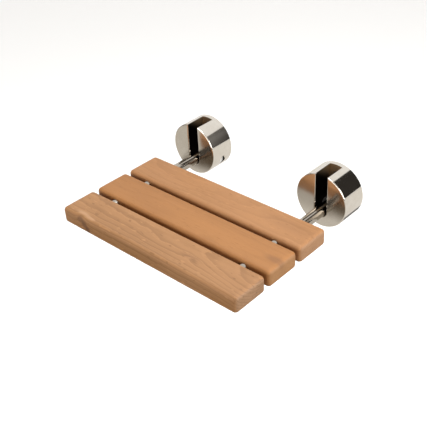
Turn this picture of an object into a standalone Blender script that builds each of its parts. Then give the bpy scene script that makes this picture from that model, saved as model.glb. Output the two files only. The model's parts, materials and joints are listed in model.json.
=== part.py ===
"""Folding shower seat: three teak slats on two round rods that fold up into slotted wall drums.

Metres, +X along the wall, +Y into the wall, +Z up. The origin is on the wall, midway between the
drums and at the height of their axes. The seat is modelled down, ready to sit on.
"""

import math

import bmesh
import bpy

MM = 0.001

# Slats, which lie along the wall
SLAT_LENGTH = 314 * MM
SLAT_WIDTH = 55.5 * MM
SLAT_THICKNESS = 25 * MM
SLAT_ROUNDING = 6 * MM
SLAT_GAP = 6 * MM
SLAT_NAMES = ("rear", "middle", "front")

# Rods, which carry the slats and turn on the hinge pins
ROD_RADIUS = 8 * MM
ROD_END_CHAMFER = 1 * MM
ROD_TO_FRONT_FACE = 15 * MM

# Drums, one for each rod
DRUM_SPACING = 234 * MM
DRUM_RADIUS = 40 * MM
DRUM_DEPTH = 41 * MM
DRUM_CHAMFER = 1 * MM
DRUM_AXIS_ABOVE_ROD = 17 * MM
RIM_WIDTH = 8 * MM
RECESS_DEPTH = 3.6 * MM
SLOT_BACK_FROM_WALL = 7.2 * MM
SLOT_SIDE_CLEARANCE = 1.5 * MM
FOLD_CLEARANCE = 5.15 * MM

# Hinge: the pin runs from the inner side of the drum across the slot
PIN_RADIUS = 4 * MM
PIN_BLIND_WALL = 8 * MM
EYE_OVERSIZE = 0.2 * MM
EYE_TO_SLOT_BACK = 1.6 * MM
POCKET_CLEARANCE = 0.8 * MM
BUSH_WALL = 1 * MM
WASHER_THICKNESS = 2.4 * MM
WASHER_EDGE = 0.4 * MM
SET_SCREW_RADIUS = 5 * MM
SET_SCREW_LENGTH = 8 * MM
SET_SCREW_RECESS = 3.5 * MM
SET_SCREW_KEY = 5 * MM
SET_SCREW_SOCKET_DEPTH = 4 * MM

# Wall plates and the screws that hold the drums on them
PLATE_SETBACK = 0.2 * MM
WALL_HOLE_RADIUS = 3 * MM
WALL_HOLE_HEAD_RADIUS = 5.2 * MM
WALL_HOLE_TO_EDGE = 11 * MM
DRUM_SCREW_RADIUS = 2.5 * MM
DRUM_SCREW_HEAD_RADIUS = 4.6 * MM
DRUM_SCREW_TO_ROD = 5 * MM
DRUM_SCREW_TO_RECESS_EDGE = 3 * MM
SCREW_KEY = 3 * MM
SCREW_SOCKET_DEPTH = 1.6 * MM

# Low-head screws up through each slat into the rods
SLAT_SCREW_RADIUS = 2.5 * MM
SLAT_SCREW_HEAD_RADIUS = 4.75 * MM
SLAT_SCREW_HEAD_HEIGHT = 2 * MM
SLAT_SCREW_SETBACK = 0.2 * MM
SLAT_SCREW_IN_ROD = 7.5 * MM

GAP = 0.3 * MM
OVERCUT = 5 * MM
MERGE = 0.01 * MM
ROUND_STEPS = 64
SMALL_STEPS = 32
SCREW_STEPS = 20
SLAT_ROUND_SEGMENTS = 4
SIDES = {"left": -1, "right": 1}

# Places worked out from the sizes above
ROD_Z = -DRUM_AXIS_ABOVE_ROD
ROD_X = DRUM_SPACING / 2
EYE_RADIUS = ROD_RADIUS + EYE_OVERSIZE
POCKET_RADIUS = EYE_RADIUS + POCKET_CLEARANCE
PIVOT_Y = -(SLOT_BACK_FROM_WALL + EYE_TO_SLOT_BACK + EYE_RADIUS)
DRUM_CORNER = math.hypot(DRUM_DEPTH + PIVOT_Y, DRUM_RADIUS + DRUM_AXIS_ABOVE_ROD)
SEAT_BACK_Y = PIVOT_Y - DRUM_CORNER - FOLD_CLEARANCE
SEAT_FRONT_Y = SEAT_BACK_Y - 3 * SLAT_WIDTH - 2 * SLAT_GAP
ROD_FRONT_Y = SEAT_FRONT_Y + ROD_TO_FRONT_FACE
SLOT_RADIUS = ROD_RADIUS + SLOT_SIDE_CLEARANCE
SLOT_ROUND_Z = ROD_Z - ROD_RADIUS - GAP + SLOT_RADIUS
BUSH_INNER_RADIUS = PIN_RADIUS + GAP
BUSH_OUTER_RADIUS = BUSH_INNER_RADIUS + BUSH_WALL
EYE_BORE_RADIUS = BUSH_OUTER_RADIUS + GAP
EYE_HALF_WIDTH = SLOT_RADIUS - WASHER_THICKNESS - 2 * GAP
PLATE_RADIUS = DRUM_RADIUS - RIM_WIDTH - GAP
PIN_CHORD = math.sqrt(DRUM_RADIUS**2 - DRUM_AXIS_ABOVE_ROD**2)
SET_SCREW_FACE = PIN_CHORD - SET_SCREW_RECESS
PIN_INNER_END = SET_SCREW_FACE - SET_SCREW_LENGTH - GAP
PIN_OUTER_END = -(PIN_CHORD - PIN_BLIND_WALL)
DRUM_SCREW_FACE = SLOT_BACK_FROM_WALL - GAP
DRUM_SCREW_Z = {
    "lower": ROD_Z + ROD_RADIUS + DRUM_SCREW_TO_ROD + DRUM_SCREW_HEAD_RADIUS,
    "upper": DRUM_RADIUS - RIM_WIDTH - DRUM_SCREW_TO_RECESS_EDGE - DRUM_SCREW_HEAD_RADIUS,
}
SLAT_HEAD_RECESS = SLAT_SCREW_SETBACK + SLAT_SCREW_HEAD_HEIGHT

# Local +Z of a turned piece points along one of these
TO_FRONT = (math.pi / 2, 0, 0)
TO_RIGHT = (0, math.pi / 2, 0)
TO_LEFT = (0, -math.pi / 2, 0)
UP = (0, 0, 0)


def clear_scene():
    for obj in list(bpy.data.objects):
        bpy.data.objects.remove(obj, do_unlink=True)


def new_collection(name, rendered):
    collection = bpy.data.collections.new(name)
    collection.hide_render = not rendered
    bpy.context.scene.collection.children.link(collection)
    return collection


def new_object(name, mesh, collection):
    obj = bpy.data.objects.new(name, mesh)
    collection.objects.link(obj)
    return obj


def finish_material(name, color, roughness, metallic):
    material = bpy.data.materials.new(name)
    material.use_nodes = True
    shader = material.node_tree.nodes["Principled BSDF"]
    shader.inputs["Base Color"].default_value = (*color, 1)
    shader.inputs["Roughness"].default_value = roughness
    shader.inputs["Metallic"].default_value = metallic
    return material


def turned(name, profile, steps, collection):
    """A solid of revolution about its local Z, from (radius, height) points, top to bottom."""
    mesh = bpy.data.meshes.new(name)
    points = [(radius, 0, height) for radius, height in profile]
    mesh.from_pydata(points, [(i, i + 1) for i in range(len(points) - 1)], [])
    obj = new_object(name, mesh, collection)
    screw = obj.modifiers.new("Turn", "SCREW")
    screw.steps = steps
    screw.render_steps = steps
    screw.use_merge_vertices = True
    screw.merge_threshold = MERGE
    return obj


def rod_profile(radius, bottom, top):
    return [(0, top), (radius, top), (radius, bottom), (0, bottom)]


def ring_profile(inner, outer, height):
    return [(inner, height), (outer, height), (outer, 0), (inner, 0), (inner, height)]


def box(name, low, high, collection):
    """A closed box between two corners, in its own local coordinates."""
    mesh = bpy.data.meshes.new(name)
    shape = bmesh.new()
    bmesh.ops.create_cube(shape, size=1)
    for vert in shape.verts:
        for axis in range(3):
            share = vert.co[axis] + 0.5
            vert.co[axis] = low[axis] + share * (high[axis] - low[axis])
    shape.to_mesh(mesh)
    shape.free()
    return new_object(name, mesh, collection)


def extruded(name, outline, half_depth, collection):
    """A flat outline in local XY, extruded both ways along local Z and made a closed mesh."""
    curve = bpy.data.curves.new(name, "CURVE")
    curve.dimensions = "2D"
    curve.fill_mode = "BOTH"
    curve.extrude = half_depth
    spline = curve.splines.new("POLY")
    spline.points.add(len(outline) - 1)
    for point, (x, y) in zip(spline.points, outline):
        point.co = (x, y, 0, 1)
    spline.use_cyclic_u = True
    guide = new_object(name + "_outline", curve, collection)
    graph = bpy.context.evaluated_depsgraph_get()
    mesh = bpy.data.meshes.new_from_object(guide.evaluated_get(graph))
    bpy.data.objects.remove(guide)
    shape = bmesh.new()
    shape.from_mesh(mesh)
    bmesh.ops.remove_doubles(shape, verts=shape.verts, dist=MERGE)
    bmesh.ops.recalc_face_normals(shape, faces=shape.faces)
    shape.to_mesh(mesh)
    shape.free()
    mesh.name = name
    return new_object(name, mesh, collection)


def hex_socket(name, across_flats, depth, collection):
    """A six-sided cutter, centred on the local origin."""
    mesh = bpy.data.meshes.new(name)
    shape = bmesh.new()
    corner = across_flats / math.sqrt(3)
    bmesh.ops.create_cone(
        shape, cap_ends=True, segments=6, radius1=corner, radius2=corner, depth=2 * depth
    )
    shape.to_mesh(mesh)
    shape.free()
    return new_object(name, mesh, collection)


def place(obj, location, rotation=UP):
    obj.location = location
    obj.rotation_euler = rotation
    return obj


def boolean(obj, tool, operation="DIFFERENCE"):
    modifier = obj.modifiers.new(tool.name, "BOOLEAN")
    modifier.operation = operation
    modifier.solver = "EXACT"
    modifier.object = tool
    tool.display_type = "WIRE"
    tool.hide_render = True


def arc(centre, radius, start, end, steps):
    """Points on an arc, with both ends, from the start angle to the end angle in degrees."""
    angles = [math.radians(start + (end - start) * i / steps) for i in range(steps + 1)]
    return [(centre[0] + radius * math.cos(a), centre[1] + radius * math.sin(a)) for a in angles]


def finish(obj, material, parent=None):
    """Gives a piece its material, and hangs it on its parent without moving it."""
    obj.data.materials.append(material)
    if parent:
        obj.location = [own - held for own, held in zip(obj.location, parent.location)]
        obj.parent = parent
    return obj


def slat_centre(row):
    return SEAT_BACK_Y - SLAT_WIDTH / 2 - row * (SLAT_WIDTH + SLAT_GAP)


def build_slat(row, name, material, seat, parts, cutters):
    half = (SLAT_LENGTH / 2, SLAT_WIDTH / 2, SLAT_THICKNESS / 2)
    slat = box("slat_" + name, [-size for size in half], half, parts)
    place(slat, (0, slat_centre(row), ROD_Z))
    rounding = slat.modifiers.new("Rounding", "BEVEL")
    rounding.width = SLAT_ROUNDING
    rounding.segments = SLAT_ROUND_SEGMENTS
    bore_front = slat_centre(row) - SLAT_WIDTH / 2 - OVERCUT
    if name == "front":
        bore_front = ROD_FRONT_Y - GAP
    bore_back = slat_centre(row) + SLAT_WIDTH / 2 + OVERCUT
    for side, sign in SIDES.items():
        label = f"{name}_{side}"
        bore = rod_profile(ROD_RADIUS + GAP, -bore_back, -bore_front)
        bore = turned("cut_rod_bore_" + label, bore, SMALL_STEPS, cutters)
        boolean(slat, place(bore, (sign * ROD_X, 0, ROD_Z), TO_FRONT))
        underside = ROD_Z - SLAT_THICKNESS / 2
        head = [
            (0, ROD_Z),
            (SLAT_SCREW_RADIUS + GAP, ROD_Z),
            (SLAT_SCREW_RADIUS + GAP, underside + SLAT_HEAD_RECESS + GAP),
            (SLAT_SCREW_HEAD_RADIUS + GAP, underside + SLAT_HEAD_RECESS + GAP),
            (SLAT_SCREW_HEAD_RADIUS + GAP, underside - OVERCUT),
            (0, underside - OVERCUT),
        ]
        head = turned("cut_screw_recess_" + label, head, SCREW_STEPS, cutters)
        boolean(slat, place(head, (sign * ROD_X, slat_centre(row), 0)))
    return finish(slat, material, seat)


def build_rod(side, sign, material, seat, parts, cutters):
    """A round bar with a round-ended, flat-sided eye at the hinge pin."""
    x = sign * ROD_X
    length_profile = [
        (0, -ROD_FRONT_Y),
        (ROD_RADIUS - ROD_END_CHAMFER, -ROD_FRONT_Y),
        (ROD_RADIUS, -ROD_FRONT_Y - ROD_END_CHAMFER),
        (ROD_RADIUS, -PIVOT_Y - EYE_RADIUS - OVERCUT),
        (0, -PIVOT_Y - EYE_RADIUS - OVERCUT),
    ]
    rod = turned("rod_" + side, length_profile, ROUND_STEPS, parts)
    place(rod, (x, 0, ROD_Z), TO_FRONT)
    reach = ROD_FRONT_Y - OVERCUT
    wide = ROD_RADIUS + OVERCUT
    round_end = arc((PIVOT_Y, 0), EYE_RADIUS, -90, 90, SMALL_STEPS)
    outline = [(reach, -wide), (PIVOT_Y, -wide), *round_end, (PIVOT_Y, wide), (reach, wide)]
    side_view = extruded("keep_rod_side_view_" + side, outline, wide, cutters)
    boolean(rod, place(side_view, (x, 0, ROD_Z), (math.pi / 2, 0, math.pi / 2)), "INTERSECT")
    shoulder = PIVOT_Y - POCKET_RADIUS - GAP
    for hand in (-1, 1):
        low = [min(hand * EYE_HALF_WIDTH, hand * wide), shoulder, -wide]
        high = [max(hand * EYE_HALF_WIDTH, hand * wide), 0, wide]
        flat = box(f"cut_eye_flat_{side}_{hand}", low, high, cutters)
        boolean(rod, place(flat, (x, 0, ROD_Z)))
    bore = rod_profile(EYE_BORE_RADIUS, -wide, wide)
    bore = turned("cut_eye_bore_" + side, bore, SMALL_STEPS, cutters)
    boolean(rod, place(bore, (x, PIVOT_Y, ROD_Z), TO_RIGHT))
    thread_top = -ROD_RADIUS + SLAT_SCREW_IN_ROD + GAP
    for row, name in enumerate(SLAT_NAMES):
        thread = rod_profile(SLAT_SCREW_RADIUS + GAP, -wide, thread_top)
        thread = turned(f"cut_rod_thread_{name}_{side}", thread, SCREW_STEPS, cutters)
        boolean(rod, place(thread, (x, slat_centre(row), ROD_Z)))
    return finish(rod, material, seat)


def build_slat_screw(row, name, side, sign, material, seat, parts, cutters):
    label = f"{name}_{side}"
    face = -SLAT_THICKNESS / 2 + SLAT_SCREW_SETBACK
    shoulder = face + SLAT_SCREW_HEAD_HEIGHT
    profile = [
        (0, -ROD_RADIUS + SLAT_SCREW_IN_ROD),
        (SLAT_SCREW_RADIUS, -ROD_RADIUS + SLAT_SCREW_IN_ROD),
        (SLAT_SCREW_RADIUS, shoulder),
        (SLAT_SCREW_HEAD_RADIUS, shoulder),
        (SLAT_SCREW_HEAD_RADIUS, face),
        (0, face),
    ]
    screw = turned("slat_screw_" + label, profile, SCREW_STEPS, parts)
    place(screw, (sign * ROD_X, slat_centre(row), ROD_Z))
    socket = hex_socket("cut_slat_screw_key_" + label, SCREW_KEY, SCREW_SOCKET_DEPTH, cutters)
    boolean(screw, place(socket, (sign * ROD_X, slat_centre(row), ROD_Z + face)))
    return finish(screw, material, seat)


def slot_outline():
    """The upright slot seen from the front: a round bottom for the rod, open at the top."""
    top = DRUM_RADIUS + OVERCUT
    bottom = arc((0, SLOT_ROUND_Z), SLOT_RADIUS, 180, 360, SMALL_STEPS // 2)
    return [(-SLOT_RADIUS, top), *bottom, (SLOT_RADIUS, top)]


def countersunk_screw(radius, head_radius, tip, face):
    """A screw with a 90 degree head, from the head's face down to the tip."""
    cone = face - (head_radius - radius)
    return [(0, face), (head_radius, face), (radius, cone), (radius, tip), (0, tip)]


def countersunk_hole(radius, head_radius, bottom, face):
    """The hole for that screw: the gap wider all round, and straight above the head's face."""
    rim = face - GAP * (math.sqrt(2) - 1)
    return [
        (0, face + OVERCUT),
        (head_radius + GAP, face + OVERCUT),
        (head_radius + GAP, rim),
        (radius + GAP, rim - (head_radius - radius)),
        (radius + GAP, bottom),
        (0, bottom),
    ]


def build_drum(side, sign, material, parts, cutters):
    x = sign * ROD_X
    profile = [
        (0, DRUM_DEPTH),
        (DRUM_RADIUS - DRUM_CHAMFER, DRUM_DEPTH),
        (DRUM_RADIUS, DRUM_DEPTH - DRUM_CHAMFER),
        (DRUM_RADIUS, 0),
        (DRUM_RADIUS - RIM_WIDTH, 0),
        (DRUM_RADIUS - RIM_WIDTH, RECESS_DEPTH),
        (0, RECESS_DEPTH),
    ]
    drum = turned("bracket_drum_" + side, profile, ROUND_STEPS, parts)
    place(drum, (x, 0, 0), TO_FRONT)
    slot_half = (DRUM_DEPTH + OVERCUT - SLOT_BACK_FROM_WALL) / 2
    slot = extruded("cut_slot_" + side, slot_outline(), slot_half, cutters)
    boolean(drum, place(slot, (x, -SLOT_BACK_FROM_WALL - slot_half, 0), TO_FRONT))
    pocket = rod_profile(POCKET_RADIUS, -SLOT_RADIUS, SLOT_RADIUS)
    pocket = turned("cut_eye_pocket_" + side, pocket, SMALL_STEPS, cutters)
    boolean(drum, place(pocket, (x, PIVOT_Y, ROD_Z), TO_RIGHT))
    pin_hole = [
        (0, PIN_CHORD + OVERCUT),
        (SET_SCREW_RADIUS + GAP, PIN_CHORD + OVERCUT),
        (SET_SCREW_RADIUS + GAP, PIN_INNER_END),
        (PIN_RADIUS + GAP, PIN_INNER_END),
        (PIN_RADIUS + GAP, PIN_OUTER_END - GAP),
        (0, PIN_OUTER_END - GAP),
    ]
    pin_hole = turned("cut_pin_hole_" + side, pin_hole, SMALL_STEPS, cutters)
    boolean(drum, place(pin_hole, (x, PIVOT_Y, ROD_Z), TO_LEFT if sign > 0 else TO_RIGHT))
    for level, z in DRUM_SCREW_Z.items():
        hole = countersunk_hole(DRUM_SCREW_RADIUS, DRUM_SCREW_HEAD_RADIUS, -OVERCUT, DRUM_SCREW_FACE)
        hole = turned(f"cut_drum_screw_hole_{level}_{side}", hole, SCREW_STEPS, cutters)
        boolean(drum, place(hole, (x, 0, z), TO_FRONT))
    return finish(drum, material)


def build_wall_plate(side, sign, material, parts, cutters):
    x = sign * ROD_X
    front = RECESS_DEPTH - GAP
    profile = rod_profile(PLATE_RADIUS, PLATE_SETBACK, front)
    plate = turned("wall_plate_" + side, profile, ROUND_STEPS, parts)
    place(plate, (x, 0, 0), TO_FRONT)
    for level, z in DRUM_SCREW_Z.items():
        thread = rod_profile(DRUM_SCREW_RADIUS + GAP, -OVERCUT, OVERCUT)
        thread = turned(f"cut_plate_thread_{level}_{side}", thread, SCREW_STEPS, cutters)
        boolean(plate, place(thread, (x, 0, z), TO_FRONT))
    for hand in (-1, 1):
        hole = countersunk_hole(WALL_HOLE_RADIUS, WALL_HOLE_HEAD_RADIUS, -OVERCUT, front)
        hole = turned(f"cut_wall_hole_{side}_{hand}", hole, SCREW_STEPS, cutters)
        offset = hand * (PLATE_RADIUS - WALL_HOLE_TO_EDGE)
        boolean(plate, place(hole, (x + offset, 0, 0), TO_FRONT))
    return finish(plate, material)


def build_drum_screw(level, z, side, sign, material, parts, cutters):
    x = sign * ROD_X
    tip = PLATE_SETBACK + GAP
    profile = countersunk_screw(DRUM_SCREW_RADIUS, DRUM_SCREW_HEAD_RADIUS, tip, DRUM_SCREW_FACE)
    screw = turned(f"drum_screw_{level}_{side}", profile, SCREW_STEPS, parts)
    place(screw, (x, 0, z), TO_FRONT)
    socket = hex_socket(f"cut_drum_screw_key_{level}_{side}", SCREW_KEY, SCREW_SOCKET_DEPTH, cutters)
    boolean(screw, place(socket, (x, -DRUM_SCREW_FACE, z), TO_FRONT))
    return finish(screw, material)


def build_hinge(side, sign, materials, seat, parts, cutters):
    """The pin and its set screw stay in the drum, and the bush turns with the rod's eye."""
    centre = (sign * ROD_X, PIVOT_Y, ROD_Z)
    inward = TO_LEFT if sign > 0 else TO_RIGHT
    profile = rod_profile(PIN_RADIUS, PIN_OUTER_END, PIN_INNER_END)
    pin = turned("hinge_pin_" + side, profile, SMALL_STEPS, parts)
    finish(place(pin, centre, inward), materials["steel"])
    profile = rod_profile(SET_SCREW_RADIUS, PIN_INNER_END + GAP, SET_SCREW_FACE)
    screw = turned("pin_set_screw_" + side, profile, SMALL_STEPS, parts)
    place(screw, centre, inward)
    socket = hex_socket("cut_set_screw_key_" + side, SET_SCREW_KEY, SET_SCREW_SOCKET_DEPTH, cutters)
    face = (centre[0] - sign * SET_SCREW_FACE, PIVOT_Y, ROD_Z)
    boolean(screw, place(socket, face, inward))
    finish(screw, materials["steel"])
    bush = ring_profile(BUSH_INNER_RADIUS, BUSH_OUTER_RADIUS, 2 * EYE_HALF_WIDTH)
    bush = turned("pivot_bush_" + side, bush, SMALL_STEPS, parts)
    place(bush, (centre[0] - EYE_HALF_WIDTH, PIVOT_Y, ROD_Z), TO_RIGHT)
    finish(bush, materials["bush"], seat)
    for place_name, hand in (("outer", sign), ("inner", -sign)):
        washer = ring_profile(PIN_RADIUS + GAP, ROD_RADIUS - WASHER_EDGE, WASHER_THICKNESS)
        washer = turned(f"thrust_washer_{place_name}_{side}", washer, SMALL_STEPS, parts)
        start = centre[0] + hand * (EYE_HALF_WIDTH + GAP)
        place(washer, (start, PIVOT_Y, ROD_Z), TO_RIGHT if hand > 0 else TO_LEFT)
        finish(washer, materials["washer"])


def main():
    clear_scene()
    parts = new_collection("folding_shower_seat", True)
    cutters = new_collection("cutters", False)
    seat = new_object("seat_fold_axis", None, parts)
    place(seat, (0, PIVOT_Y, ROD_Z))
    materials = {
        "rear": finish_material("teak_rear", (0.54, 0.31, 0.15), 0.55, 0),
        "middle": finish_material("teak_middle", (0.56, 0.29, 0.12), 0.55, 0),
        "front": finish_material("teak_front", (0.50, 0.30, 0.16), 0.55, 0),
        "nickel": finish_material("polished_nickel", (0.74, 0.70, 0.64), 0.08, 1),
        "rod": finish_material("polished_rod_steel", (0.70, 0.69, 0.67), 0.12, 1),
        "steel": finish_material("stainless_fastener", (0.62, 0.61, 0.59), 0.28, 1),
        "plate": finish_material("zinc_wall_plate", (0.55, 0.56, 0.58), 0.4, 1),
        "bush": finish_material("acetal_bush", (0.82, 0.80, 0.74), 0.45, 0),
        "washer": finish_material("nylon_washer", (0.75, 0.74, 0.70), 0.5, 0),
    }
    for row, name in enumerate(SLAT_NAMES):
        build_slat(row, name, materials[name], seat, parts, cutters)
    for side, sign in SIDES.items():
        build_rod(side, sign, materials["rod"], seat, parts, cutters)
        for row, name in enumerate(SLAT_NAMES):
            build_slat_screw(row, name, side, sign, materials["steel"], seat, parts, cutters)
        build_drum(side, sign, materials["nickel"], parts, cutters)
        build_wall_plate(side, sign, materials["plate"], parts, cutters)
        for level, z in DRUM_SCREW_Z.items():
            build_drum_screw(level, z, side, sign, materials["steel"], parts, cutters)
        build_hinge(side, sign, materials, seat, parts, cutters)
    for obj in parts.objects:
        if obj.type == "MESH":
            obj.data.shade_smooth()


main()
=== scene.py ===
"""Looks for the folding shower seat: teak slats, polished nickel wall drums and round steel rods."""

import json
import math

import bmesh
import bpy
from mathutils import Matrix, Vector


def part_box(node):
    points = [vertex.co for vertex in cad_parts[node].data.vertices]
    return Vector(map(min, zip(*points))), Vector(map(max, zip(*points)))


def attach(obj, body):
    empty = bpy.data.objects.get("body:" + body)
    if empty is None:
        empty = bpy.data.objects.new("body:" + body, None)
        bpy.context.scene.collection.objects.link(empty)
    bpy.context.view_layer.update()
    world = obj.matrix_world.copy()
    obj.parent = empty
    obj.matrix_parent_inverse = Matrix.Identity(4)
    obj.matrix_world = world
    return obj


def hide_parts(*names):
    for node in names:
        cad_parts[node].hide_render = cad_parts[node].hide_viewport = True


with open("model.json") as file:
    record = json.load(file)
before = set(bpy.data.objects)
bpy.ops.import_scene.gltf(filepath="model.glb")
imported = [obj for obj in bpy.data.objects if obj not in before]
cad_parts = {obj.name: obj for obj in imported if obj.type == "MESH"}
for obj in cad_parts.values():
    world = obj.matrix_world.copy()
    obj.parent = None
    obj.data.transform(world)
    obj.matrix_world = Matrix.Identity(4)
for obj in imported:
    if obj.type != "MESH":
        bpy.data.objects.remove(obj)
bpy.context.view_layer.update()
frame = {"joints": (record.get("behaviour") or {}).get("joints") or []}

MM = 0.001
SIDES = {"left": -1, "right": 1}
SLATS = ("rear", "middle", "front")
PIVOT = Vector(frame["joints"][0]["pos_m"])

# Finish of the slats
SLAT_ROUNDING = 6 * MM
SLAT_CELL = 1.5 * MM
SANDING = 0.12 * MM
WAVE_SCALE = 28
SEED_STEP = 3.1
BORE_CLEARANCE = 0.3 * MM
RECESS_CLEARANCE = 0.3 * MM
RECESS_STEP = 2.25 * MM
RECESS_HEIGHT = 2.3 * MM

# Teak: its yearly rings and how far they wander, its pores, and its colours away from the plain wood
RING_WIDTH = 5.2 * MM
RING_WARP = 24 * MM
RING_RIPPLE = 3 * MM
PORE_DEPTH = 0.08 * MM
PORE_WOOD = (0.15, 0.062, 0.02)
DARK_WOOD = (0.13, 0.06, 0.032)
PALE_WOOD = (0.56, 0.34, 0.19)
END_GRAIN_TINT = (0.90, 1.02, 1.30)
LOG_SHIFT = 1.7

# The log of each slat. A figure is its centre, its spread, how far it bends the rings, and its shade
LOGS = {
    "rear": {
        "pith": (-0.080, -0.085),
        "light": (0.402, 0.194, 0.078),
        "dark": (0.285, 0.134, 0.051),
        "contrast": 0.25,
        "figures": [((0.118, -0.108, -0.004), (0.050, 0.014, 0.012), 4 * MM, 0.1)],
    },
    "middle": {
        "pith": (-0.200, -0.110),
        "light": (0.378, 0.169, 0.054),
        "dark": (0.268, 0.115, 0.036),
        "contrast": 0.13,
        "figures": [((0.149, -0.176, -0.004), (0.020, 0.007, 0.012), -5 * MM, 0.4)],
    },
    "front": {
        "pith": (-0.205, 0.060),
        "light": (0.388, 0.197, 0.083),
        "dark": (0.262, 0.128, 0.051),
        "contrast": 0.58,
        "figures": [
            ((-0.120, -0.262, -0.010), (0.007, 0.008, 0.006), 5 * MM, 0.55),
            ((-0.112, -0.262, -0.016), (0.006, 0.010, 0.008), 4 * MM, 0.7),
            ((-0.106, -0.262, -0.023), (0.005, 0.010, 0.007), 2 * MM, 0.8),
            ((-0.121, -0.254, -0.003), (0.016, 0.004, 0.004), 3 * MM, -0.45),
            ((-0.104, -0.257, -0.005), (0.011, 0.003, 0.004), 2 * MM, -0.4),
            ((0.165, -0.232, -0.004), (0.075, 0.035, 0.030), -13 * MM, 0.12),
            ((0.062, -0.236, -0.004), (0.020, 0.005, 0.010), 3 * MM, 0.22),
        ],
    },
}

# Finish of the drums
DRUM_ROUNDING = 1.3 * MM
SLOT_ROUNDING = 1.6 * MM
SLOT_TOP_CHAMFER = 0.5 * MM
SLOT_CLEARANCE = 1.5 * MM
SLOT_BACK = 7.2 * MM
SLOT_REST_GAP = 0.3 * MM
RIM_WIDTH = 8 * MM
RIM_CHAMFER = 0.3 * MM
RECESS_DEPTH = 3.6 * MM
EYE_OVERSIZE = 0.2 * MM
POCKET_CLEARANCE = 0.8 * MM
HOLE_CHAMFER = 0.5 * MM
PIN_CLEARANCE = 0.3 * MM
OVERCUT = 5 * MM
SKIN = 0.1 * MM
SQUARE_ON = -0.99

# Finish of the rods, the wall plates and the hinges
ROD_CHAMFER = 1 * MM
PLATE_CHAMFER = 0.4 * MM
PIN_CHAMFER = 0.6 * MM
BUSH_CHAMFER = 0.25 * MM
WASHER_CHAMFER = 0.3 * MM
WALL_HOLE = 3 * MM
WALL_HOLE_HEAD = 5.2 * MM
WALL_HOLE_TO_EDGE = 11 * MM
SCREW_HOLE = 2.8 * MM
BUSH_BORE = 4.3 * MM

# Socket screws, in millimetres; the point's length and radius are shares of the shank's radius
POINT_LENGTH = 0.5
POINT_RADIUS = 0.6
THREAD = {"Bevel": 0.25, "Pitch": 0.8, "Ridge": 0.22}
SLAT_SCREW = {"Head Radius": 4.75, "Head Height": 2.0, "Neck Radius": 4.75, "Shank Radius": 2.45}
SLAT_SCREW.update({"Length": 11.8, "Key Radius": 1.732, "Socket Depth": 1.6, **THREAD})
DRUM_SCREW = {"Head Radius": 4.6, "Head Height": 2.35, "Neck Radius": 2.45, "Shank Radius": 2.45}
DRUM_SCREW.update({"Length": 6.4, "Key Radius": 1.732, "Socket Depth": 1.6, **THREAD})
# Known fault: this head leaves its shank a negative length, so the hidden end is malformed
PIN_SCREW = {"Head Radius": 5.0, "Head Height": 7.0, "Neck Radius": 5.0, "Shank Radius": 4.2}
PIN_SCREW.update({"Length": 8.0, "Key Radius": 2.887, "Socket Depth": 4.0, **THREAD, "Pitch": 0.3})

TURN_STEPS = 192
ROUNDING_STEPS = 5
SCREW_SIDES = 48
FINE_STEPS = 96
SHARP_ANGLE = math.radians(28)
MERGE = 0.002 * MM

# The room, in metres
FLOOR_HEIGHT = -0.48
FLOOR_REACH = 20
TABLE_HEIGHT = -0.0415
TABLE_REACH = 0.9
LIGHT_AIM = (0, -0.15, 0)


# ---------------------------------------------------------------- node trees


class Wire:
    """An output socket that can be used in arithmetic."""

    def __init__(self, net, socket):
        self.net = net
        self.socket = socket

    def __add__(self, other):
        return self.net.math("ADD", self, other)

    def __sub__(self, other):
        return self.net.math("SUBTRACT", self, other)

    def __rsub__(self, other):
        return self.net.math("SUBTRACT", other, self)

    def __mul__(self, other):
        return self.net.math("MULTIPLY", self, other)

    def __truediv__(self, other):
        return self.net.math("DIVIDE", self, other)

    def __rtruediv__(self, other):
        return self.net.math("DIVIDE", other, self)

    def __pow__(self, other):
        return self.net.math("POWER", self, other)

    __radd__ = __add__
    __rmul__ = __mul__


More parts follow.
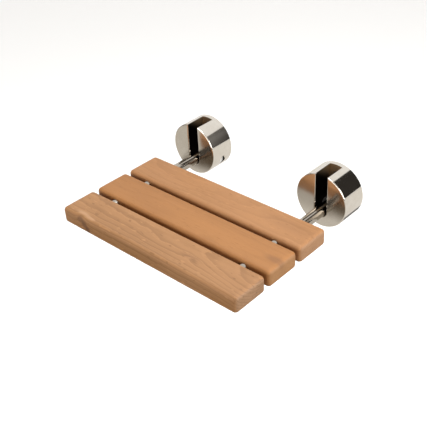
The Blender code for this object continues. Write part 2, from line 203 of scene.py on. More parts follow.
class Net:
    """Writes the nodes of one shader or geometry tree."""

    def __init__(self, tree):
        self.tree = tree

    def node(self, kind, settings=None, sockets=None, out=0):
        """Makes a node, sets its settings, then its sockets, and returns one of its outputs."""
        made = self.tree.nodes.new(kind)
        for key, value in (settings or {}).items():
            setattr(made, key, value)
        for key, value in (sockets or {}).items():
            self.feed(self.find(made.inputs, key), value)
        return Wire(self, self.find(made.outputs, out)) if len(made.outputs) else made

    @staticmethod
    def find(sockets, key):
        if isinstance(key, int):
            return sockets[key]
        return next(s for s in sockets if s.identifier == key or s.name == key)

    def feed(self, socket, value):
        for one in value if isinstance(value, list) else [value]:
            if isinstance(one, Wire):
                self.tree.links.new(one.socket, socket)
            else:
                socket.default_value = one

    def math(self, operation, *values):
        return self.node("ShaderNodeMath", {"operation": operation}, dict(enumerate(values)))

    def vector(self, operation, *values, out=0):
        return self.node("ShaderNodeVectorMath", {"operation": operation}, dict(enumerate(values)), out)

    def scale(self, vector, factor):
        return self.node("ShaderNodeVectorMath", {"operation": "SCALE"}, {0: vector, "Scale": factor})

    def join(self, x, y, z):
        return self.node("ShaderNodeCombineXYZ", None, {0: x, 1: y, 2: z})

    def split(self, vector):
        made = self.node("ShaderNodeSeparateXYZ", None, {0: vector}).socket.node
        return [Wire(self, socket) for socket in made.outputs]

    def smooth(self, value, low, high):
        """0 below low, 1 above high, and a smooth step between them."""
        settings = {"interpolation_type": "SMOOTHSTEP"}
        sockets = {"Value": value, "From Min": low, "From Max": high}
        return self.node("ShaderNodeMapRange", settings, sockets)

    def mix(self, factor, first, second, how="MIX"):
        settings = {"data_type": "RGBA", "blend_type": how}
        sockets = {"Factor_Float": factor, "A_Color": paint(first), "B_Color": paint(second)}
        return self.node("ShaderNodeMix", settings, sockets, "Result_Color")

    def noise(self, where, scale, detail=2.0, roughness=0.5, distortion=0.0):
        sockets = {"Vector": where, "Scale": scale, "Detail": detail}
        sockets.update({"Roughness": roughness, "Distortion": distortion})
        return self.node("ShaderNodeTexNoise", None, sockets, "Fac")


def paint(color):
    return color if isinstance(color, Wire) else (*color, 1)


def new_material(name):
    """A material with an empty Principled shader, and the Net and shader to fill in."""
    material = bpy.data.materials.new(name)
    material.use_nodes = True
    material.node_tree.nodes.clear()
    net = Net(material.node_tree)
    shader = net.node("ShaderNodeBsdfPrincipled")
    net.node("ShaderNodeOutputMaterial", None, {"Surface": shader})
    return material, net, shader.socket.node


def object_place(net):
    return net.node("ShaderNodeTexCoord", None, None, "Object")


def set_shader(net, shader, **sockets):
    for name, value in sockets.items():
        net.feed(net.find(shader.inputs, name.replace("_", " ")), value)


def add_bump(net, shader, height, depth, strength=1.0):
    sockets = {"Height": height, "Distance": depth, "Strength": strength}
    set_shader(net, shader, Normal=net.node("ShaderNodeBump", None, sockets))


# ---------------------------------------------------------------- materials


def teak(name, shift, pith, light, dark, contrast, figures):
    """Oiled teak cut from one log: rings round a pith line along X, fibres, pores and figure.

    pith is the ring centre in Y and Z. A figure is (centre, spread, push, shade): it bends the rings
    by push, and darkens the wood there by shade, or lightens it where shade is negative.
    """
    material, net, shader = new_material(name)
    place = object_place(net)
    x, y, z = net.split(place)
    drift = net.join(x * 0.3 + shift, y, z)
    warp = (net.noise(drift, 12, 2) - 0.5) * RING_WARP
    ripple = (net.noise(net.join(x * 0.6 + shift, y, z), 70, 2) - 0.5) * RING_RIPPLE
    across = ((y - pith[0]) * (y - pith[0]) + (z - pith[1]) * (z - pith[1])) ** 0.5
    rings = across + warp + ripple
    shades = 0.0
    for centre, spread, push, shade_here in figures:
        away = net.vector("DIVIDE", net.vector("SUBTRACT", place, centre), spread)
        reach = net.vector("LENGTH", away, out="Value")
        swell = net.math("EXPONENT", reach * reach * -1)
        rings = rings + swell * push
        shades = net.smooth(reach, 1.25, 0.35) * shade_here + shades
    year = net.math("FRACT", rings / RING_WIDTH)
    late = net.smooth(year, 0.45, 0.9) * net.smooth(year, 0.97, 0.92)
    pale = net.smooth(year, 0.93, 0.98) + net.smooth(year, 0.16, 0.02)
    fibre = net.noise(net.join(x * 5, y * 330, z * 330), 1, 3, 0.6)
    streak = net.noise(net.join(x * 2.2 + shift, y * 80, z * 80), 1, 3, 0.55)
    cloud = net.noise(net.join(x * 9 + shift, y * 26, z * 26), 1, 2)
    fleck = net.noise(net.join(x * 85 + shift, y * 260, z * 260), 1, 0)
    pores = net.smooth(net.noise(net.join(x * 75, y * 1000, z * 1000), 1, 1), 0.66, 0.74)
    open_pores = pores * (1 - late * 0.6)
    flecks = net.smooth(fleck, 0.73, 0.80) - net.smooth(fleck, 0.27, 0.20)
    tone = (late - pale * 0.55) * contrast + (fibre - 0.5) * 0.3 + (streak - 0.5) * 0.8
    tone = tone + (cloud - 0.5) * 1.1 + flecks * contrast * 1.8
    color = net.mix(net.smooth(tone, -0.75, 1.05), light, dark)
    color = net.mix(open_pores * 0.3, color, PORE_WOOD)
    facing = net.split(net.node("ShaderNodeTexCoord", None, None, "Normal"))[0]
    end_grain = net.smooth(facing * facing, 0.35, 0.9)
    color = net.mix(end_grain, color, END_GRAIN_TINT, "MULTIPLY")
    color = net.mix(net.math("MAXIMUM", shades, 0.0), color, DARK_WOOD)
    color = net.mix(net.math("MAXIMUM", shades * -1, 0.0), color, PALE_WOOD)
    rough = 0.52 + (fibre - 0.5) * 0.22 + open_pores * 0.1 + end_grain * 0.1
    set_shader(net, shader, Base_Color=color, Roughness=rough, IOR=1.4)
    add_bump(net, shader, fibre * 0.5 - open_pores * 0.8 - late * 0.25, PORE_DEPTH, 0.7)
    return material


def polished_nickel():
    """Bright nickel plate: satin where the "satin" attribute is 1, and duller inside the slot, where its
    colour is painted shade, near black deep down and brown towards the opening.
    """
    material, net, shader = new_material("polished_nickel")
    place = object_place(net)
    y, z = net.split(place)[1:]
    satin = net.node("ShaderNodeAttribute", {"attribute_name": "satin"}, None, "Fac")
    inside = net.node("ShaderNodeAttribute", {"attribute_name": "inside"}, None, "Fac")
    haze = net.noise(place, 90, 3)
    wipe = net.noise(net.vector("MULTIPLY", place, (900, 60, 900)), 1, 2)
    tone = net.mix(net.smooth(haze, 0.35, 0.7), (0.72, 0.675, 0.61), (0.75, 0.71, 0.65))
    tone = net.mix(satin * 0.22, tone, (0.30, 0.25, 0.19))
    # Painted shade inside the slot: near black deep in the slot, lightening to a painted brown light
    # towards the opening
    painted_slot_light = net.smooth(z + y * 0.8, 3 * MM, 26 * MM)
    tone = net.mix(inside, tone, net.mix(painted_slot_light, (0.025, 0.02, 0.015), (0.52, 0.41, 0.28)))
    rough = 0.045 + haze * 0.035 + net.smooth(wipe, 0.55, 0.8) * 0.02 + satin * 0.11 + inside * 0.3
    set_shader(net, shader, Base_Color=tone, Roughness=rough, Metallic=1.0)
    add_bump(net, shader, haze, 0.02 * MM, 0.12)
    return material


def metal(name, color, roughness, grain):
    """Plain metal with fine turning or drawing marks; grain scales the marks along X, Y and Z."""
    material, net, shader = new_material(name)
    place = object_place(net)
    marks = net.noise(net.vector("MULTIPLY", place, grain), 1, 3, 0.6)
    cloud = net.noise(place, 120, 2)
    darker = tuple(0.86 * part for part in color)
    set_shader(net, shader, Base_Color=net.mix(cloud, darker, color), Metallic=1.0)
    set_shader(net, shader, Roughness=roughness + (marks - 0.5) * roughness * 0.7)
    add_bump(net, shader, marks, 0.01 * MM, 0.35)
    return material


def plastic(name, color, roughness):
    material, net, shader = new_material(name)
    speckle = net.noise(object_place(net), 700, 2)
    darker = tuple(0.93 * part for part in color)
    set_shader(net, shader, Base_Color=net.mix(speckle, darker, color))
    set_shader(net, shader, Roughness=roughness + speckle * 0.08)
    add_bump(net, shader, speckle, 0.02 * MM, 0.3)
    return material


# ---------------------------------------------------------------- meshes


def add_object(name, mesh):
    piece = bpy.data.objects.new(name, mesh)
    bpy.context.scene.collection.objects.link(piece)
    return piece


def lathe(name, profile, steps, turn, centre):
    """A turned solid from (radius, height) points, top to bottom; turn aims its local Z."""
    shape = bmesh.new()
    line = [shape.verts.new((radius, 0, height)) for radius, height in profile]
    edges = [shape.edges.new(pair) for pair in zip(line, line[1:])]
    bmesh.ops.spin(shape, geom=line + edges, axis=(0, 0, 1), cent=(0, 0, 0), angle=math.tau, steps=steps)
    return close_shape(name, shape, Matrix.Translation(centre) @ turn)


def close_shape(name, shape, matrix):
    """Merges doubles, points the faces outwards, and puts the mesh in its place."""
    bmesh.ops.remove_doubles(shape, verts=shape.verts, dist=MERGE)
    bmesh.ops.recalc_face_normals(shape, faces=shape.faces)
    shape.transform(matrix)
    mesh = bpy.data.meshes.new(name)
    shape.to_mesh(mesh)
    shape.free()
    return add_object(name, mesh)


def loft(name, outlines, turn, centre):
    """A closed solid through outlines of equal length, each a list of (x, y, z) points."""
    shape = bmesh.new()
    rows = [[shape.verts.new(point) for point in outline] for outline in outlines]
    for row, following in zip(rows, rows[1:]):
        for i in range(len(row)):
            j = (i + 1) % len(row)
            shape.faces.new((row[i], row[j], following[j], following[i]))
    shape.faces.new(reversed(rows[0]))
    shape.faces.new(rows[-1])
    return close_shape(name, shape, Matrix.Translation(centre) @ turn)


def block(name, low, high):
    """A box between two corners, used as a cutter."""
    corners = [(low[0], low[1]), (high[0], low[1]), (high[0], high[1]), (low[0], high[1])]
    outlines = [[(x, y, z) for x, y in corners] for z in (low[2], high[2])]
    return loft(name, outlines, UPRIGHT, (0, 0, 0))


def carve(piece, tools, operation="DIFFERENCE"):
    """Applies the tools to a piece with Booleans, and removes them."""
    for tool in tools:
        cut = piece.modifiers.new(tool.name, "BOOLEAN")
        cut.operation = operation
        cut.object = tool
    apply_modifiers(piece)
    for tool in tools:
        bpy.data.objects.remove(tool)
    return piece


def apply_modifiers(piece):
    graph = bpy.context.evaluated_depsgraph_get()
    graph.update()
    mesh = bpy.data.meshes.new_from_object(piece.evaluated_get(graph))
    piece.modifiers.clear()
    piece.data = mesh
    return piece


def shade(piece):
    """Smooth shading that keeps the flat faces flat beside their rounded edges."""
    piece.data.shade_smooth()
    piece.data.set_sharp_from_angle(angle=SHARP_ANGLE)
    weighted = piece.modifiers.new("Normals", "WEIGHTED_NORMAL")
    weighted.keep_sharp = True
    return apply_modifiers(piece)


def rounding(radius):
    """Steps round a quarter circle, as pairs that go from (radius, 0) to (0, radius)."""
    turns = [math.pi / 2 * i / ROUNDING_STEPS for i in range(ROUNDING_STEPS + 1)]
    return [(radius * (1 - math.sin(a)), radius * (1 - math.cos(a))) for a in turns]


def mark_faces(piece, name, test):
    """Writes a face attribute that is 1 where the test of a face's centre and normal holds."""
    faces = piece.data.polygons
    attribute = piece.data.attributes.new(name, "FLOAT", "FACE")
    attribute.data.foreach_set("value", [float(test(face.center, face.normal)) for face in faces])


def dress(piece, material, slot, body, *nodes):
    """Gives a finished piece its material and its body, and hides the CAD nodes that it stands for; its
    slot is not used.
    """
    piece.data.materials.clear()
    piece.data.materials.append(material)
    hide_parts(*nodes)
    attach(piece, body)
    return piece


def centre_and_size(node):
    low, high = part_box(node)
    return (low + high) / 2, high - low


def half_height(node):
    low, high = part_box(node)
    return (high.z - low.z) / 2


UPRIGHT = Matrix.Identity(4)
TO_FRONT = Matrix.Rotation(math.pi / 2, 4, "X")
TO_RIGHT = Matrix.Rotation(math.pi / 2, 4, "Y")
TO_LEFT = Matrix.Rotation(-math.pi / 2, 4, "Y")


# ---------------------------------------------------------------- slats


def slat_tree():
    """A geometry tree that makes one rounded, hand-sanded slat round the origin."""
    net, given = new_tree("rounded_slat", ("Size", "Centre"), ("Rounding", "Cell", "Sanding", "Seed"))
    counts = [net.math("CEIL", side / given["Cell"]) + 1 for side in net.split(given["Size"])]
    sockets = {"Size": given["Size"]}
    sockets.update(zip(("Vertices X", "Vertices Y", "Vertices Z"), counts))
    block_mesh = net.node("GeometryNodeMeshCube", None, sockets, "Mesh")
    place = net.node("GeometryNodeInputPosition")
    half = net.scale(given["Size"], 0.5)
    inner = net.vector("SUBTRACT", half, net.join(given["Rounding"], given["Rounding"], given["Rounding"]))
    low = net.vector("MULTIPLY", inner, (-1, -1, -1))
    core = net.vector("MAXIMUM", net.vector("MINIMUM", place, inner), low)
    outward = net.vector("NORMALIZE", net.vector("SUBTRACT", place, core))
    waves = net.noise(net.vector("ADD", place, net.join(given["Seed"], 0.0, 0.0)), WAVE_SCALE, 2)
    reach = given["Rounding"] - waves * given["Sanding"]
    target = net.vector("ADD", net.vector("ADD", core, net.scale(outward, reach)), given["Centre"])
    rounded = net.node("GeometryNodeSetPosition", None, {"Geometry": block_mesh, "Position": target})
    smooth = net.node("GeometryNodeSetShadeSmooth", None, {"Geometry": rounded})
    real = net.node("GeometryNodeRealizeInstances", None, {"Geometry": smooth})
    done = net.node("GeometryNodeSetMaterial", None, {"Geometry": real, "Material": given["Finish"]})
    net.node("NodeGroupOutput", None, {0: done})
    return net.tree


def frustum(net, low, high, low_radius, high_radius, sides=SCREW_SIDES):
    """A closed cone section along Z between two heights."""
    sockets = {"Vertices": sides, "Radius Bottom": low_radius, "Radius Top": high_radius}
    sockets["Depth"] = high - low
    cone = net.node("GeometryNodeMeshCone", None, sockets, "Mesh")
    lift = {"Geometry": cone, "Translation": net.join(0.0, 0.0, low)}
    return net.node("GeometryNodeTransform", None, lift)


def screw_tree():
    """A geometry tree that puts a socket screw on each point, its head towards the point's facing."""
    floats = ("Head Radius", "Head Height", "Neck Radius", "Shank Radius", "Length", "Key Radius")
    net, given = new_tree("socket_screws", (), (*floats, "Socket Depth", "Bevel", "Pitch", "Ridge"))
    zero = given["Bevel"] * 0
    head = given["Head Radius"]
    shank = given["Shank Radius"]
    key_radius = given["Key Radius"]
    under = given["Head Height"] * -1
    end = given["Length"] * -1
    tip = end + shank * POINT_LENGTH
    rim = frustum(net, given["Bevel"] * -1, zero, head, head - given["Bevel"])
    neck = frustum(net, under, given["Bevel"] * -1, given["Neck Radius"], head)
    stem = frustum(net, tip, under, shank, shank)
    point = frustum(net, end, tip, shank * POINT_RADIUS, shank)
    solid = {"Mesh 2": [rim, neck, stem, point]}
    solid = net.node("GeometryNodeMeshBoolean", {"operation": "UNION"}, solid, "Mesh")
    key = frustum(net, given["Socket Depth"] * -1, given["Bevel"], key_radius, key_radius, 6)
    cut = {"Mesh 1": solid, "Mesh 2": key}
    cut = net.node("GeometryNodeMeshBoolean", {"operation": "DIFFERENCE"}, cut, "Mesh")
    run = under - tip - given["Pitch"]
    coil = {"Resolution": SCREW_SIDES, "Rotations": run / given["Pitch"], "Height": run}
    coil.update({"Start Radius": shank, "End Radius": shank})
    coil = net.node("GeometryNodeCurveSpiral", None, coil)
    ridge = net.node("GeometryNodeCurvePrimitiveCircle", None, {"Resolution": 4, "Radius": given["Ridge"]})
    thread = {"Curve": coil, "Profile Curve": ridge, "Fill Caps": True}
    thread = net.node("GeometryNodeCurveToMesh", None, thread)
    lift = {"Geometry": thread, "Translation": net.join(0.0, 0.0, tip + given["Pitch"] * 0.5)}
    thread = net.node("GeometryNodeTransform", None, lift)
    screw = net.node("GeometryNodeJoinGeometry", None, {0: [cut, thread]})
    facing = {"data_type": "FLOAT_VECTOR"}
    facing = net.node("GeometryNodeInputNamedAttribute", facing, {"Name": "facing"}, "Attribute")
    turn = net.node("FunctionNodeAlignRotationToVector", {"axis": "Z"}, {"Vector": facing})
    copies = {"Points": given["Spots"], "Instance": screw, "Rotation": turn}
    copies = net.node("GeometryNodeInstanceOnPoints", None, copies)
    real = net.node("GeometryNodeRealizeInstances", None, {"Geometry": copies})
    done = net.node("GeometryNodeSetMaterial", None, {"Geometry": real, "Material": given["Finish"]})
    net.node("NodeGroupOutput", None, {0: done})
    return net.tree


def new_tree(name, vectors, floats):
    """A geometry tree with named inputs, and the wires that come from them."""
    tree = bpy.data.node_groups.new(name, "GeometryNodeTree")
    kinds = {"Spots": "NodeSocketGeometry"}
    kinds.update({given: "NodeSocketVector" for given in vectors})
    kinds.update({given: "NodeSocketFloat" for given in floats})
    kinds["Finish"] = "NodeSocketMaterial"
    for given, kind in kinds.items():
        tree.interface.new_socket(given, in_out="INPUT", socket_type=kind)
    tree.interface.new_socket("Result", in_out="OUTPUT", socket_type="NodeSocketGeometry")
    net = Net(tree)
    group = net.node("NodeGroupInput").socket.node
    return net, {socket.name: Wire(net, socket) for socket in group.outputs if socket.name}


def grow(name, tree, values, spots=()):
    """Runs a geometry tree with its named inputs, and returns the result as a plain mesh piece.

    Each spot is a place and the direction to face, and becomes a point of the mesh that goes in.
    """
    points = bpy.data.meshes.new(name)
    points.from_pydata([place for place, facing in spots], [], [])
    directions = points.attributes.new("facing", "FLOAT_VECTOR", "POINT")
    directions.data.foreach_set("vector", [part for place, facing in spots for part in facing])
    piece = add_object(name, points)
    modifier = piece.modifiers.new(name, "NODES")
    modifier.node_group = tree
    for socket in tree.interface.items_tree:
        if socket.in_out == "INPUT" and socket.name in values:
            modifier[socket.identifier] = values[socket.name]
    return apply_modifiers(piece)


def make_slat(tree, row, material):
    """One slat, with blind bores for the rods and recesses below for its screws."""
    node = "slat_" + row
    centre, size = centre_and_size(node)
    values = {"Size": size, "Rounding": SLAT_ROUNDING, "Cell": SLAT_CELL, "Sanding": SANDING}
    values.update({"Seed": SEED_STEP * SLATS.index(row), "Centre": centre, "Finish": material})
    slat = grow("finished_" + node, tree, values)
    tools = []
    for side in SIDES:
        rod, rod_size = centre_and_size("rod_" + side)
        rod_front, rod_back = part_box("rod_" + side)
        front = max(rod_front.y, centre.y - size.y) - BORE_CLEARANCE
        bore = [(0, -front), (rod_size.x / 2 + BORE_CLEARANCE, -front)]
        bore += [(rod_size.x / 2 + BORE_CLEARANCE, -rod_back.y), (0, -rod_back.y)]
        tools.append(lathe("bore", bore, FINE_STEPS, TO_FRONT, (rod.x, 0, rod.z)))
        screw_low, screw_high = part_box(f"slat_screw_{row}_{side}")
        head = (screw_high.x - screw_low.x) / 2 + RECESS_CLEARANCE
        neck = head - RECESS_STEP
        seat = screw_low.z + RECESS_HEIGHT
        bottom = screw_low.z - OVERCUT
        recess = [(0, rod.z), (neck, rod.z), (neck, seat), (head, seat), (head, bottom), (0, bottom)]
        spot = (rod.x, (screw_low.y + screw_high.y) / 2, 0)
        tools.append(lathe("recess", recess, FINE_STEPS, UPRIGHT, spot))
    carve(slat, tools)
    dress(shade(slat), material, "teak", "seat", node)


# ---------------------------------------------------------------- drums and rods


def slot_outline(half_width, bend_z, side_top, flare, depth):
    """The slot from the front: up one side, round the bottom and up the other, flared at the top."""
    steps = FINE_STEPS // 2
    angles = [math.pi + math.pi * i / steps for i in range(steps + 1)]
    bend = [(half_width * math.cos(a), bend_z + half_width * math.sin(a)) for a in angles]
    top = [(half_width, side_top - flare), (half_width + flare + OVERCUT, side_top + OVERCUT)]
    outline = [(-x, z) for x, z in reversed(top)] + bend + top
    return [(x, depth, z) for x, z in outline]


def drum_body(name, centre, size):
    """The turned drum: a rounded front edge, and a rim round the recess for the wall plate."""
    radius = size.x / 2
    recess = radius - RIM_WIDTH
    front_edge = [(radius - inset, size.y - drop) for inset, drop in rounding(DRUM_ROUNDING)]
    profile = [(0, size.y), *front_edge, (radius, RIM_CHAMFER), (radius - RIM_CHAMFER, 0)]
    profile += [(recess, 0), (recess, RECESS_DEPTH), (0, RECESS_DEPTH)]
    return lathe(name, profile, TURN_STEPS, TO_FRONT, (centre.x, 0, centre.z))


def drum_slot(centre, size, half, bend_z):
    """The cutter for the upright slot, which widens in a rounding at the drum's front."""
    side_top = centre.z + math.sqrt((size.x / 2) ** 2 - half**2)
    stations = [(-size.y - OVERCUT, SLOT_ROUNDING)]
    stations += [(drop - size.y, wider) for wider, drop in rounding(SLOT_ROUNDING)]
    stations.append((-SLOT_BACK, 0))
    outlines = [slot_outline(half + wider, bend_z, side_top, SLOT_TOP_CHAMFER, y) for y, wider in stations]
    return loft("slot", outlines, UPRIGHT, (centre.x, 0, 0))


def pin_hole(side, sign, centre, radius):
    """The cutter for the hinge pin and the set screw over it, in from the drum's inner side."""
    pin_low, pin_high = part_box("hinge_pin_" + side)
    mouth = math.sqrt(radius**2 - (PIVOT.z - centre.z) ** 2)
    hole_radius = half_height("pin_set_screw_" + side) + PIN_CLEARANCE
    pin_radius = half_height("hinge_pin_" + side) + PIN_CLEARANCE
    ends = sorted(-sign * (end - centre.x) for end in (pin_low.x, pin_high.x))
    hole = [(0, mouth + OVERCUT), (hole_radius + HOLE_CHAMFER + OVERCUT, mouth + OVERCUT)]
    hole += [(hole_radius, mouth - HOLE_CHAMFER), (hole_radius, ends[1]), (pin_radius, ends[1])]
    hole += [(pin_radius, ends[0] - PIN_CLEARANCE), (0, ends[0] - PIN_CLEARANCE)]
    inward = TO_LEFT if sign > 0 else TO_RIGHT
    return lathe("pin_hole", hole, FINE_STEPS, inward, (centre.x, PIVOT.y, PIVOT.z))


def drum_screw_hole(level, side, centre):
    """The cutter for one countersunk hole in the slot's back."""
    low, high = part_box(f"drum_screw_{level}_{side}")
    head = (high.x - low.x) / 2 + PIN_CLEARANCE
    rim = -low.y
    hole = [(0, rim + OVERCUT), (head, rim + OVERCUT), (head, rim), (SCREW_HOLE, rim - head + SCREW_HOLE)]
    hole += [(SCREW_HOLE, 0), (0, 0)]
    return lathe("screw_hole", hole, FINE_STEPS, TO_FRONT, (centre.x, 0, (low.z + high.z) / 2))


def mark_drum(drum, side, centre, size, half, pocket_radius):
    """Marks the satin front, and what lies inside the slot, the eye's pocket and the pin hole."""
    front = centre.y - size.y / 2 + SKIN
    hole_radius = half_height("pin_set_screw_" + side) + PIN_CLEARANCE

    def satin(spot, normal):
        return spot.y < front and normal.y < SQUARE_ON

    def inside(spot, normal):
        across = abs(spot.x - centre.x)
        in_slot = across < half + SKIN and front + SLOT_ROUNDING < spot.y < -RECESS_DEPTH
        in_slot = in_slot and spot.z > PIVOT.z - pocket_radius - SKIN
        in_slot = in_slot and math.hypot(across, spot.z - centre.z) < size.x / 2 - SKIN
        in_hole = math.hypot(spot.y - PIVOT.y, spot.z - PIVOT.z) < hole_radius + SKIN
        return in_slot or (in_hole and across > half)

    mark_faces(drum, "satin", satin)
    # The inside mark is where the nickel gets its painted shade
    mark_faces(drum, "inside", inside)


def make_drum(side, sign, material):
    """One drum, with its slot, the pocket for the rod's eye, the pin hole and the screw holes."""
    node = "bracket_drum_" + side
    centre, size = centre_and_size(node)
    rod, rod_size = centre_and_size("rod_" + side)
    rod_radius = rod_size.x / 2
    half = rod_radius + SLOT_CLEARANCE
    pocket_radius = rod_radius + EYE_OVERSIZE + POCKET_CLEARANCE
    drum = drum_body("finished_" + node, centre, size)
    tools = [drum_slot(centre, size, half, rod.z - rod_radius - SLOT_REST_GAP + half)]
    pocket = [(0, half), (pocket_radius, half), (pocket_radius, -half), (0, -half)]
    tools.append(lathe("pocket", pocket, FINE_STEPS, TO_RIGHT, (centre.x, PIVOT.y, PIVOT.z)))
    tools.append(pin_hole(side, sign, centre, size.x / 2))
    tools += [drum_screw_hole(level, side, centre) for level in ("upper", "lower")]
    carve(drum, tools)
    mark_drum(drum, side, centre, size, half, pocket_radius)
    dress(shade(drum), material, "polished_nickel", "brackets", node)


def make_rod(side, material):
    """One rod, with a round eye between two flats at its wall end."""
    node = "rod_" + side
    centre, size = centre_and_size(node)
    low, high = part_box(node)
    radius = size.x / 2
    front = -low.y
    back = -high.y - OVERCUT
    profile = [(0, front), (radius - ROD_CHAMFER, front), (radius, front - ROD_CHAMFER)]
    profile += [(radius, back), (0, back)]
    rod = lathe("finished_" + node, profile, FINE_STEPS, TO_FRONT, (centre.x, 0, centre.z))
    eye = high.y - PIVOT.y
    wide = radius + OVERCUT
    angles = [-math.pi / 2 + math.pi * i / FINE_STEPS for i in range(FINE_STEPS + 1)]
    bend = [(PIVOT.y + eye * math.cos(a), eye * math.sin(a)) for a in angles]
    view = [(low.y - OVERCUT, -wide), (PIVOT.y, -wide), *bend, (PIVOT.y, wide), (low.y - OVERCUT, wide)]
    outlines = [[(x, y, z) for y, z in view] for x in (-wide, wide)]
    side_view = loft("side_view", outlines, UPRIGHT, (centre.x, 0, centre.z))
    carve(rod, [side_view], "INTERSECT")
    bush_low, bush_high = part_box("pivot_bush_" + side)
    flat = (bush_high.x - bush_low.x) / 2
    shoulder = PIVOT.y - eye - POCKET_CLEARANCE - PIN_CLEARANCE
    tools = []
    for hand in (-1, 1):
        reach = sorted((centre.x + hand * flat, centre.x + hand * wide))
        tools.append(block("flat", (reach[0], shoulder, centre.z - wide), (reach[1], 0, centre.z + wide)))
    bore = (bush_high.z - bush_low.z) / 2 + PIN_CLEARANCE
    bore_profile = [(0, wide), (bore, wide), (bore, -wide), (0, -wide)]
    tools.append(lathe("bore", bore_profile, FINE_STEPS, TO_RIGHT, (centre.x, PIVOT.y, PIVOT.z)))
    carve(rod, tools)
    dress(shade(rod), material, "rod_steel", "seat", node)


def ring(inner, outer, low, high, chamfer):
    """The closed profile of a ring with its outer edges chamfered."""
    profile = [(inner, high), (outer - chamfer, high), (outer, high - chamfer), (outer, low + chamfer)]
    return profile + [(outer - chamfer, low), (inner, low), (inner, high)]


def bar(radius, low, high, chamfer):
    """The profile of a round bar with both ends chamfered."""
    profile = [(0, high), (radius - chamfer, high), (radius, high - chamfer), (radius, low + chamfer)]
    return profile + [(radius - chamfer, low), (0, low)]


def make_plate(side, material):
    """The wall plate: two countersunk holes for wall screws and two threaded ones for the drum's."""
    node = "wall_plate_" + side
    centre, size = centre_and_size(node)
    low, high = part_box(node)
    radius = size.x / 2
    profile = bar(radius, -high.y, -low.y, PLATE_CHAMFER)
    plate = lathe("finished_" + node, profile, TURN_STEPS, TO_FRONT, (centre.x, 0, centre.z))
    face = -low.y
    tools = []
    for hand in (-1, 1):
        hole = [(0, face + OVERCUT), (WALL_HOLE_HEAD + OVERCUT, face + OVERCUT)]
        hole += [(WALL_HOLE, face - WALL_HOLE_HEAD + WALL_HOLE), (WALL_HOLE, -OVERCUT), (0, -OVERCUT)]
        spot = (centre.x + hand * (radius - WALL_HOLE_TO_EDGE), 0, centre.z)
        tools.append(lathe("hole", hole, FINE_STEPS, TO_FRONT, spot))
    for level in ("upper", "lower"):
        screw = centre_and_size(f"drum_screw_{level}_{side}")[0]
        hole = [(0, OVERCUT), (SCREW_HOLE, OVERCUT), (SCREW_HOLE, -OVERCUT), (0, -OVERCUT)]
        tools.append(lathe("hole", hole, FINE_STEPS, TO_FRONT, (screw.x, 0, screw.z)))
    carve(plate, tools)
    dress(shade(plate), material, "wall_plate", "brackets", node)


def make_hinge(side, steel, acetal, nylon):
    """The pin with its two thrust washers, and the bush in the rod's eye."""
    pieces = {"hinge_pin_" + side: (steel, "fasteners", "brackets", 0.0, PIN_CHAMFER)}
    pieces["pivot_bush_" + side] = (acetal, "bush", "seat", BUSH_BORE, BUSH_CHAMFER)
    for where in ("inner", "outer"):
        pieces[f"thrust_washer_{where}_{side}"] = (nylon, "washer", "brackets", BUSH_BORE, WASHER_CHAMFER)
    for node, (material, slot, body, bore, chamfer) in pieces.items():
        centre, size = centre_and_size(node)
        shape = (size.z / 2, -size.x / 2, size.x / 2, chamfer)
        profile = ring(bore, *shape) if bore else bar(*shape)
        piece = lathe("finished_" + node, profile, FINE_STEPS, TO_RIGHT, (centre.x, PIVOT.y, PIVOT.z))
        dress(shade(piece), material, slot, body, node)


def make_screws(tree, steel, plating):
    """The three kinds of socket screw, each kind one mesh."""
    slat_spots = {}
    drum_spots = {}
    pin_spots = {}
    for side, sign in SIDES.items():
        for row in SLATS:
            node = f"slat_screw_{row}_{side}"
            centre = centre_and_size(node)[0]
            slat_spots[node] = ((centre.x, centre.y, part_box(node)[0].z), (0, 0, -1))
        for level in ("upper", "lower"):
            node = f"drum_screw_{level}_{side}"
            centre = centre_and_size(node)[0]
            drum_spots[node] = ((centre.x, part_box(node)[0].y, centre.z), (0, -1, 0))
        node = "pin_set_screw_" + side
        centre, size = centre_and_size(node)
        pin_spots[node] = ((centre.x - sign * size.x / 2, centre.y, centre.z), (-sign, 0, 0))
    kinds = {
        "finished_slat_screws": (slat_spots, "seat", SLAT_SCREW, steel),
        "finished_drum_screws": (drum_spots, "brackets", DRUM_SCREW, steel),
        "finished_pin_set_screws": (pin_spots, "brackets", PIN_SCREW, plating),
    }
    for name, (spots, body, sizes, material) in kinds.items():
        values = {key: value * MM for key, value in sizes.items()}
        screws = grow(name, tree, {**values, "Finish": material}, list(spots.values()))
        dress(shade(screws), material, "fasteners", body, *spots)


# ---------------------------------------------------------------- room and camera


def add_plane(name, height, reach):
    """A level plane, which isn't part of the object, with an empty material to fill in."""
    shape = bmesh.new()
    bmesh.ops.create_grid(shape, x_segments=1, y_segments=1, size=reach)
    plane = close_shape(name, shape, Matrix.Translation((0, 0, height)))
    plane.visible_diffuse = False
    material, net, shader = new_material(name)
    plane.data.materials.append(material)
    return plane, net, shader


def make_floor():
    """A pale floor far below the object."""
    net, shader = add_plane("floor", FLOOR_HEIGHT, FLOOR_REACH)[1:]
    set_shader(net, shader, Base_Color=(0.93, 0.93, 0.93, 1), Roughness=0.9)
    set_shader(net, shader, Emission_Color=(1, 1, 1, 1), Emission_Strength=0.15)


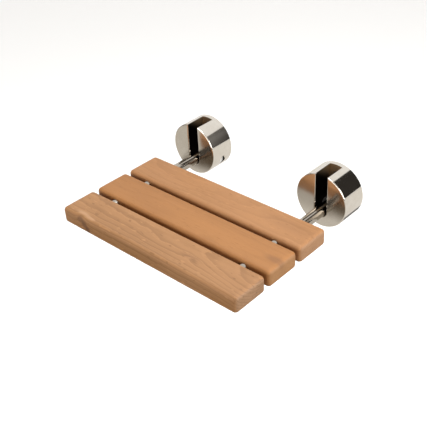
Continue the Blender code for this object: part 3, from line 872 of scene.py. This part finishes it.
def make_table():
    """A glowing table just under the drums, seen only in reflections; its glow is painted light, dimmer
    towards the front, with a painted shadow of the seat under it and a painted dark patch to the left
    front.
    """
    table, net, shader = add_plane("table", TABLE_HEIGHT, TABLE_REACH)
    table.visible_camera = False
    table.visible_shadow = False
    x, y = net.split(object_place(net))[:2]
    # Painted shadow of the seat on the table, lighter in a band towards the right drum, and a painted dark
    # patch to the left front
    lighter_shadow_band = net.smooth(x, -0.02, 0.05) * net.smooth(x, 0.105, 0.080)
    under = net.smooth(y + x * 0.07, -0.050, -0.084) * net.smooth(x * x, 0.030, 0.024)
    under = under * net.smooth(y, -0.36, -0.27) * (1 - lighter_shadow_band * 0.7)
    painted_dark_left_front = net.smooth(x, -0.29, -0.35) * net.smooth(y, 0.10, 0.04)
    # Painted light: the table glows dimmer at the front and brighter behind
    painted_table_light = net.mix(net.smooth(y, -0.12, 0.05), (0.70, 0.665, 0.60), (0.90, 0.87, 0.82))
    painted_table_light = net.mix(net.math("MAXIMUM", under, painted_dark_left_front), painted_table_light, (0.12, 0.09, 0.06))
    set_shader(net, shader, Base_Color=(0, 0, 0, 1), Roughness=1.0, Specular_IOR_Level=0.0)
    set_shader(net, shader, Emission_Color=painted_table_light, Emission_Strength=1.0)


def studio_color(net):
    """Bright overhead, behind the left and in a front panel, warm below, and dark elsewhere."""
    way = net.node("ShaderNodeTexCoord", None, None, "Generated")
    x, y, z = net.split(way)
    sky = net.smooth(z, 0.30, 0.42)
    back_left = net.smooth(x, -0.1, -0.3) * net.smooth(y, 0.3, 0.5)
    panel = net.smooth(y, -0.66, -0.72) * net.smooth(z, -0.12, -0.04) * net.smooth(z, 0.60, 0.50)
    below = net.smooth(z, 0.0, -0.08)
    front = net.smooth(y, -0.05, -0.35)
    lit = net.math("MAXIMUM", sky * (1 - front * 0.92), net.math("MAXIMUM", back_left, below))
    lit = net.math("MAXIMUM", lit, panel)
    ceiling = 0.645 + (y - 0.63) * 0.8
    behind = net.smooth(x, 0.13, 0.18) * net.smooth(y, 0.2, 0.35)
    behind = behind * net.smooth(z - ceiling, 0.012, -0.012)
    dark = net.math("MAXIMUM", 1 - lit, behind * (1 - below))
    streaks = net.noise(net.vector("MULTIPLY", way, (2, 5, 3)), 1, 1)
    far_back = net.smooth(y + (streaks - 0.5) * 0.08, 0.62, 0.68)
    deep = net.math("MAXIMUM", far_back, net.smooth(y, 0.5, 0.4))
    shadow = net.mix(deep, (0.22, 0.21, 0.20), (0.035, 0.031, 0.028))
    bright = net.mix(panel, (1.0, 0.985, 0.96), (2.6, 2.5, 2.35))
    return net.mix(dark, net.mix(below, bright, (0.52, 0.47, 0.40)), shadow)


def make_studio():
    """The world: a studio that lights and reflects, behind a plain white backdrop."""
    world = bpy.data.worlds.new("studio")
    bpy.context.scene.world = world
    world.use_nodes = True
    world.node_tree.nodes.clear()
    net = Net(world.node_tree)
    background = "ShaderNodeBackground"
    studio = net.node(background, None, {"Color": studio_color(net), "Strength": 1.0})
    plain = net.node(background, None, {"Color": (1, 1, 1, 1), "Strength": 1.0})
    seen = net.node("ShaderNodeLightPath", None, None, "Is Camera Ray")
    both = net.node("ShaderNodeMixShader", None, {0: seen, 1: studio, 2: plain})
    net.node("ShaderNodeOutputWorld", None, {"Surface": both})


def add_light(name, place, aim, size, power):
    lamp = bpy.data.lights.new(name, "AREA")
    lamp.size = size
    lamp.energy = power
    light = add_object(name, lamp)
    light.location = place
    light.rotation_euler = (Vector(place) - Vector(aim)).to_track_quat("Z", "Y").to_euler()


def make_camera():
    azimuth = math.radians(43.4)
    elevation = math.radians(33.9)
    roll = math.radians(-3.15)
    distance = 1.0613
    aim = Vector((0.0018, -0.1134, -0.0298))
    turn = Matrix.Rotation(azimuth, 4, "Z") @ Matrix.Rotation(math.pi / 2 - elevation, 4, "X")
    turn = turn @ Matrix.Rotation(roll, 4, "Z")
    lens = bpy.data.cameras.new("camera")
    lens.lens = 64.36
    lens.sensor_width = 36
    lens.shift_x = -0.0187
    camera = add_object("camera", lens)
    camera.matrix_world = Matrix.Translation(aim) @ turn @ Matrix.Translation((0, 0, distance))
    bpy.context.scene.camera = camera


# ---------------------------------------------------------------- assembly


def make_slats():
    tree = slat_tree()
    for order, row in enumerate(SLATS):
        make_slat(tree, row, teak("teak_" + row, LOG_SHIFT * order, **LOGS[row]))


def make_metalwork():
    nickel = polished_nickel()
    rod_steel = metal("rod_steel", (0.50, 0.455, 0.40), 0.10, (1200, 30, 1200))
    fastener = metal("fastener_steel", (0.64, 0.63, 0.61), 0.22, (400, 400, 400))
    plating = metal("set_screw_plating", (0.90, 0.89, 0.87), 0.5, (400, 400, 400))
    plate = metal("wall_plate_zinc", (0.50, 0.51, 0.53), 0.42, (150, 150, 150))
    bush = plastic("acetal_bush", (0.80, 0.78, 0.72), 0.42)
    washer = plastic("nylon_washer", (0.035, 0.034, 0.033), 0.42)
    for side, sign in SIDES.items():
        make_drum(side, sign, nickel)
        make_rod(side, rod_steel)
        make_plate(side, plate)
        make_hinge(side, fastener, bush, washer)
    make_screws(screw_tree(), fastener, plating)


def main():
    make_camera()
    make_floor()
    make_table()
    make_studio()
    add_light("overhead", (-0.05, 0.1, 1.5), LIGHT_AIM, size=1.0, power=15)
    add_light("right_side", (1.2, 0.25, 0.5), LIGHT_AIM, size=0.8, power=18)
    bpy.context.scene.view_settings.view_transform = "Standard"
    make_slats()
    make_metalwork()


main()
